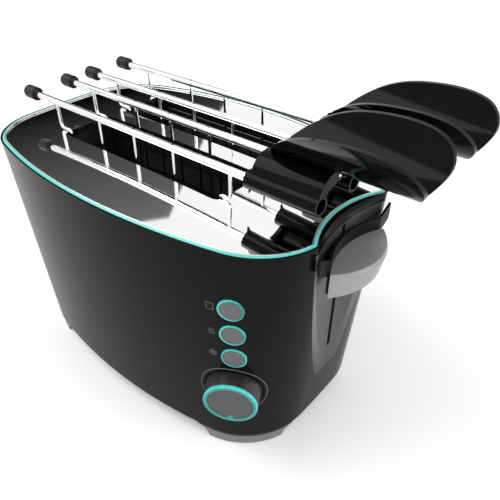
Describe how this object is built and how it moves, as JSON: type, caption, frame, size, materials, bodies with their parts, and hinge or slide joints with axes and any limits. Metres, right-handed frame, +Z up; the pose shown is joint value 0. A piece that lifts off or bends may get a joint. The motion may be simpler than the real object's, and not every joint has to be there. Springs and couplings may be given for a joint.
{
  "type": "two-slice toaster",
  "caption": "Two-slice toaster with rounded black body, mirror top plate, end lever, corner buttons and browning knob, and lift-out wire sandwich tongs.",
  "frame": {"origin": "on the plane of the feet, under the centre of the body's outline", "axes": "+Z up, +X towards the lever end, -Y towards the side with the buttons and the knob"},
  "size_m": [0.3085, 0.1734, 0.2243],
  "materials": {
    "shell_black": "deep gloss black moulded plastic",
    "panel_grey": "dark grey satin plastic",
    "bezel_grey": "silver-grey satin paint",
    "ring_teal": "teal gloss plastic",
    "plate_mirror": "mirror-polished stainless steel",
    "base_black": "matt black plastic",
    "foot_grey": "silver-grey satin plastic",
    "rubber_black": "soft matt rubber",
    "steel_zinc": "zinc-plated sheet steel",
    "wire_chrome": "bright chromed wire",
    "mica": "silvery beige mica board",
    "ribbon": "resistance ribbon, cold",
    "board_green": "green circuit board",
    "copper": "enamelled copper winding",
    "slider_white": "off-white heat-proof plastic",
    "lever_silver": "silver satin paint on plastic",
    "knob_dark": "dark gloss plastic",
    "face_grey": "grey satin plastic",
    "button_grey": "grey satin plastic",
    "handle_black": "gloss black heat-proof plastic"
  },
  "bodies": {
    "housing": {"base_plate": "base_black", "bread_guards_front": "wire_chrome", "bread_guards_rear": "wire_chrome", "button_rings": "ring_teal", "chassis_plate_left": "steel_zinc", "chassis_plate_right": "steel_zinc", "control_board": "board_green", "cord_bushing": "base_black", "electromagnet": "copper", "foot_front_left": "foot_grey", "foot_front_right": "foot_grey", "foot_pads": "rubber_black", "foot_rear_left": "foot_grey", "foot_rear_right": "foot_grey", "guide_rods": "wire_chrome", "heater_board_front": "mica", "heater_board_middle": "mica", "heater_board_rear": "mica", "heater_ribbons": "ribbon", "knob_recess": "shell_black", "lever_bezel": "bezel_grey", "lever_panel": "panel_grey", "outer_shell": "shell_black", "potentiometer": "steel_zinc", "reflector_front": "steel_zinc", "reflector_rear": "steel_zinc", "return_spring": "wire_chrome", "rim_ring": "ring_teal", "screws": "steel_zinc", "top_plate": "plate_mirror"},
    "carriage": {"bread_rack_front": "wire_chrome", "bread_rack_rear": "wire_chrome", "carriage_slider": "slider_white", "latch_armature": "steel_zinc", "lever_backing": "base_black", "lever_pad": "lever_silver"},
    "knob": {"knob_body": "knob_dark", "knob_ring": "ring_teal", "knob_face": "face_grey"},
    "cancel_button": {"cancel_button": "button_grey"},
    "reheat_button": {"reheat_button": "button_grey"},
    "defrost_button": {"defrost_button": "button_grey"},
    "crumb_tray": {"crumb_tray": "steel_zinc", "crumb_tray_grip": "shell_black"},
    "front_tong_carrier": {"front_tong_hinge_pin": "steel_zinc"},
    "front_tong_jaw_front": {"front_tong_wires_front": "wire_chrome", "front_tong_tip_front": "rubber_black", "front_tong_handle_front": "handle_black"},
    "front_tong_jaw_rear": {"front_tong_wires_rear": "wire_chrome", "front_tong_tip_rear": "rubber_black", "front_tong_handle_rear": "handle_black"},
    "rear_tong_carrier": {"rear_tong_hinge_pin": "steel_zinc"},
    "rear_tong_jaw_front": {"rear_tong_wires_front": "wire_chrome", "rear_tong_tip_front": "rubber_black", "rear_tong_handle_front": "handle_black"},
    "rear_tong_jaw_rear": {"rear_tong_wires_rear": "wire_chrome", "rear_tong_tip_rear": "rubber_black", "rear_tong_handle_rear": "handle_black"}
  },
  "joints": [
    {"name": "carriage_slide", "type": "slide", "parent": "housing", "child": "carriage", "axis": [0, 0, 1], "range_m": [-0.05, 0.008], "stiffness_N_per_m": 100, "springref_m": 0.0085, "deforming": ["return_spring"]},
    {"name": "browning_knob_turn", "type": "hinge", "parent": "housing", "child": "knob", "pos_m": [0.1005, -0.06573, 0.06], "axis": [-0.4869, 0.8719, 0.0522], "range_deg": [0, 300]},
    {"name": "cancel_button_press", "type": "slide", "parent": "housing", "child": "cancel_button", "axis": [-0.4255, 0.9038, 0.0467], "range_m": [0, 0.0025], "stiffness_N_per_m": 400, "springref_m": -0.002},
    {"name": "reheat_button_press", "type": "slide", "parent": "housing", "child": "reheat_button", "axis": [-0.4532, 0.8901, 0.0489], "range_m": [0, 0.0025], "stiffness_N_per_m": 400, "springref_m": -0.002},
    {"name": "defrost_button_press", "type": "slide", "parent": "housing", "child": "defrost_button", "axis": [-0.4804, 0.8756, 0.051], "range_m": [0, 0.0025], "stiffness_N_per_m": 400, "springref_m": -0.002},
    {"name": "crumb_tray_slide", "type": "slide", "parent": "housing", "child": "crumb_tray", "axis": [0, 1, 0], "range_m": [0, 0.13]},
    {"name": "front_tong_lift", "type": "slide", "parent": "housing", "child": "front_tong_carrier", "axis": [0, 0, 1], "range_m": [0, 0.1]},
    {"name": "front_tong_jaw_front_open", "type": "hinge", "parent": "front_tong_carrier", "child": "front_tong_jaw_front", "pos_m": [0.12, -0.0158, 0.198], "axis": [-1, 0, 0], "range_deg": [0, 2.2], "stiffness_Nm_per_rad": 2, "springref_deg": -5.73},
    {"name": "front_tong_jaw_rear_open", "type": "hinge", "parent": "front_tong_carrier", "child": "front_tong_jaw_rear", "pos_m": [0.12, -0.0158, 0.198], "axis": [1, 0, 0], "range_deg": [0, 2.2], "stiffness_Nm_per_rad": 2, "springref_deg": -5.73},
    {"name": "rear_tong_lift", "type": "slide", "parent": "housing", "child": "rear_tong_carrier", "axis": [0, 0, 1], "range_m": [0, 0.1]},
    {"name": "rear_tong_jaw_front_open", "type": "hinge", "parent": "rear_tong_carrier", "child": "rear_tong_jaw_front", "pos_m": [0.12, 0.0374, 0.198], "axis": [-1, 0, 0], "range_deg": [0, 2.2], "stiffness_Nm_per_rad": 2, "springref_deg": -5.73},
    {"name": "rear_tong_jaw_rear_open", "type": "hinge", "parent": "rear_tong_carrier", "child": "rear_tong_jaw_rear", "pos_m": [0.12, 0.0374, 0.198], "axis": [1, 0, 0], "range_deg": [0, 2.2], "stiffness_Nm_per_rad": 2, "springref_deg": -5.73}
  ],
  "couplings": [
    {"joint": "front_tong_jaw_rear_open", "follows": "front_tong_jaw_front_open", "ratio": 1},
    {"joint": "rear_tong_jaw_rear_open", "follows": "rear_tong_jaw_front_open", "ratio": 1}
  ]
}
